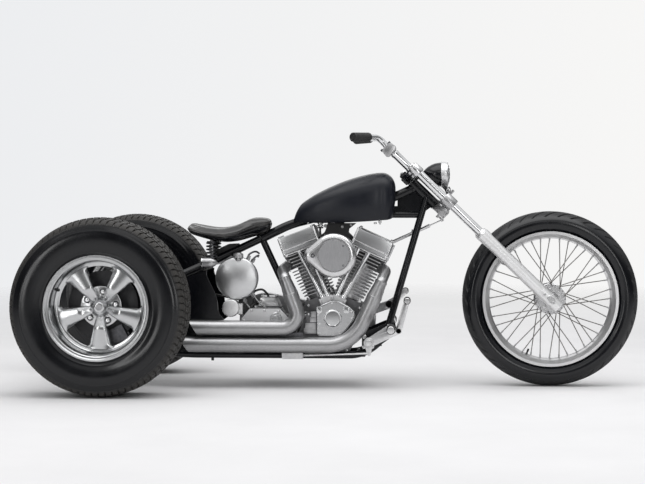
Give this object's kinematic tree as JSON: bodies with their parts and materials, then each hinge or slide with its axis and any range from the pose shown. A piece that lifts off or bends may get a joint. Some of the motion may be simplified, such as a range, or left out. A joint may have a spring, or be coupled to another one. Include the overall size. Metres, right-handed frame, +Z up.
{
  "type": "motorized trike",
  "caption": "Chopper-style motor trike: raked fork, teardrop tank, solo seat and exposed V-twin in a tube frame, with wide rear wheels on a solid axle.",
  "frame": {"origin": "on the ground, in the middle of the overall length and width", "axes": "+X forwards, +Y to the rider's left, +Z up"},
  "size_m": [2.5194, 1.1442, 1.0515],
  "materials": {
    "frame_black": "gloss",
    "tank_paint": "satin",
    "engine_alloy": "satin",
    "brushed": "brushed",
    "wheel_alloy": "polished",
    "polished": "polished",
    "dark_steel": "satin",
    "iron": "rough",
    "tyre_rubber": "matt",
    "grip_rubber": "matt",
    "belt_rubber": "matt",
    "black_plastic": "matt",
    "seat_leather": "gloss"
  },
  "bodies": {
    "frame": {"frame_backbone": "frame_black", "frame_downtubes": "frame_black", "frame_rails": "frame_black", "frame_seat_post": "frame_black", "frame_stays": "frame_black", "axle_carriers": "frame_black", "frame_crossmembers": "frame_black", "rear_axle_housing": "iron", "rear_brake_calipers": "dark_steel", "steering_damper": "dark_steel", "control_brackets": "frame_black", "electrics_box": "black_plastic", "lifter_blocks": "engine_alloy", "rocker_drains": "polished", "final_drive_belt": "belt_rubber", "final_drive_pulleys": "dark_steel", "engine_cases": "engine_alloy", "cam_cover": "engine_alloy", "pushrod_tubes": "polished", "carburettor": "dark_steel", "air_cleaner": "engine_alloy", "top_engine_mount": "black_plastic", "exhaust_front": "brushed", "exhaust_rear": "brushed", "primary_cover": "engine_alloy", "transmission": "engine_alloy", "oil_tank": "brushed", "oil_filter": "polished", "fuel_tank": "tank_paint", "seat": "seat_leather", "seat_springs": "dark_steel", "seat_hinge": "frame_black", "marker_lamps": "polished", "foot_controls_left": "brushed", "foot_controls_right": "brushed", "brake_linkage": "brushed", "cylinder_rear": "engine_alloy", "rocker_box_rear": "brushed", "cylinder_front": "engine_alloy", "rocker_box_front": "brushed"},
    "steering": {"fork_lower_tree": "brushed", "fork_upper_tree": "dark_steel", "fork_tubes": "polished", "fork_sliders": "engine_alloy", "front_axle": "polished", "handlebar": "polished", "grips": "grip_rubber", "headlight_shell": "frame_black", "headlight_ring": "brushed"},
    "front_wheel": {"front_tyre": "tyre_rubber", "front_rim": "wheel_alloy", "front_hub": "wheel_alloy", "front_spokes": "polished"},
    "rear_wheel_left": {"rear_tyre_left": "tyre_rubber", "rear_rim_left": "wheel_alloy", "rear_hub_left": "dark_steel"},
    "rear_wheel_right": {"rear_tyre_right": "tyre_rubber", "rear_rim_right": "wheel_alloy", "rear_hub_right": "dark_steel"}
  },
  "joints": [
    {"name": "steer", "type": "hinge", "parent": "frame", "child": "steering", "pos_m": [0.42128, 0, 0.75266], "axis": [-0.7193, 0, 0.6947], "range_deg": [-30, 30]},
    {"name": "front_wheel_spin", "type": "hinge", "parent": "steering", "child": "front_wheel", "pos_m": [0.89625, 0, 0.3635], "axis": [0, 1, 0], "continuous": true},
    {"name": "rear_left_spin", "type": "hinge", "parent": "frame", "child": "rear_wheel_left", "pos_m": [-0.90575, 0.446, 0.354], "axis": [0, 1, 0], "continuous": true},
    {"name": "rear_right_spin", "type": "hinge", "parent": "frame", "child": "rear_wheel_right", "pos_m": [-0.90575, -0.446, 0.354], "axis": [0, 1, 0], "continuous": true}
  ]
}
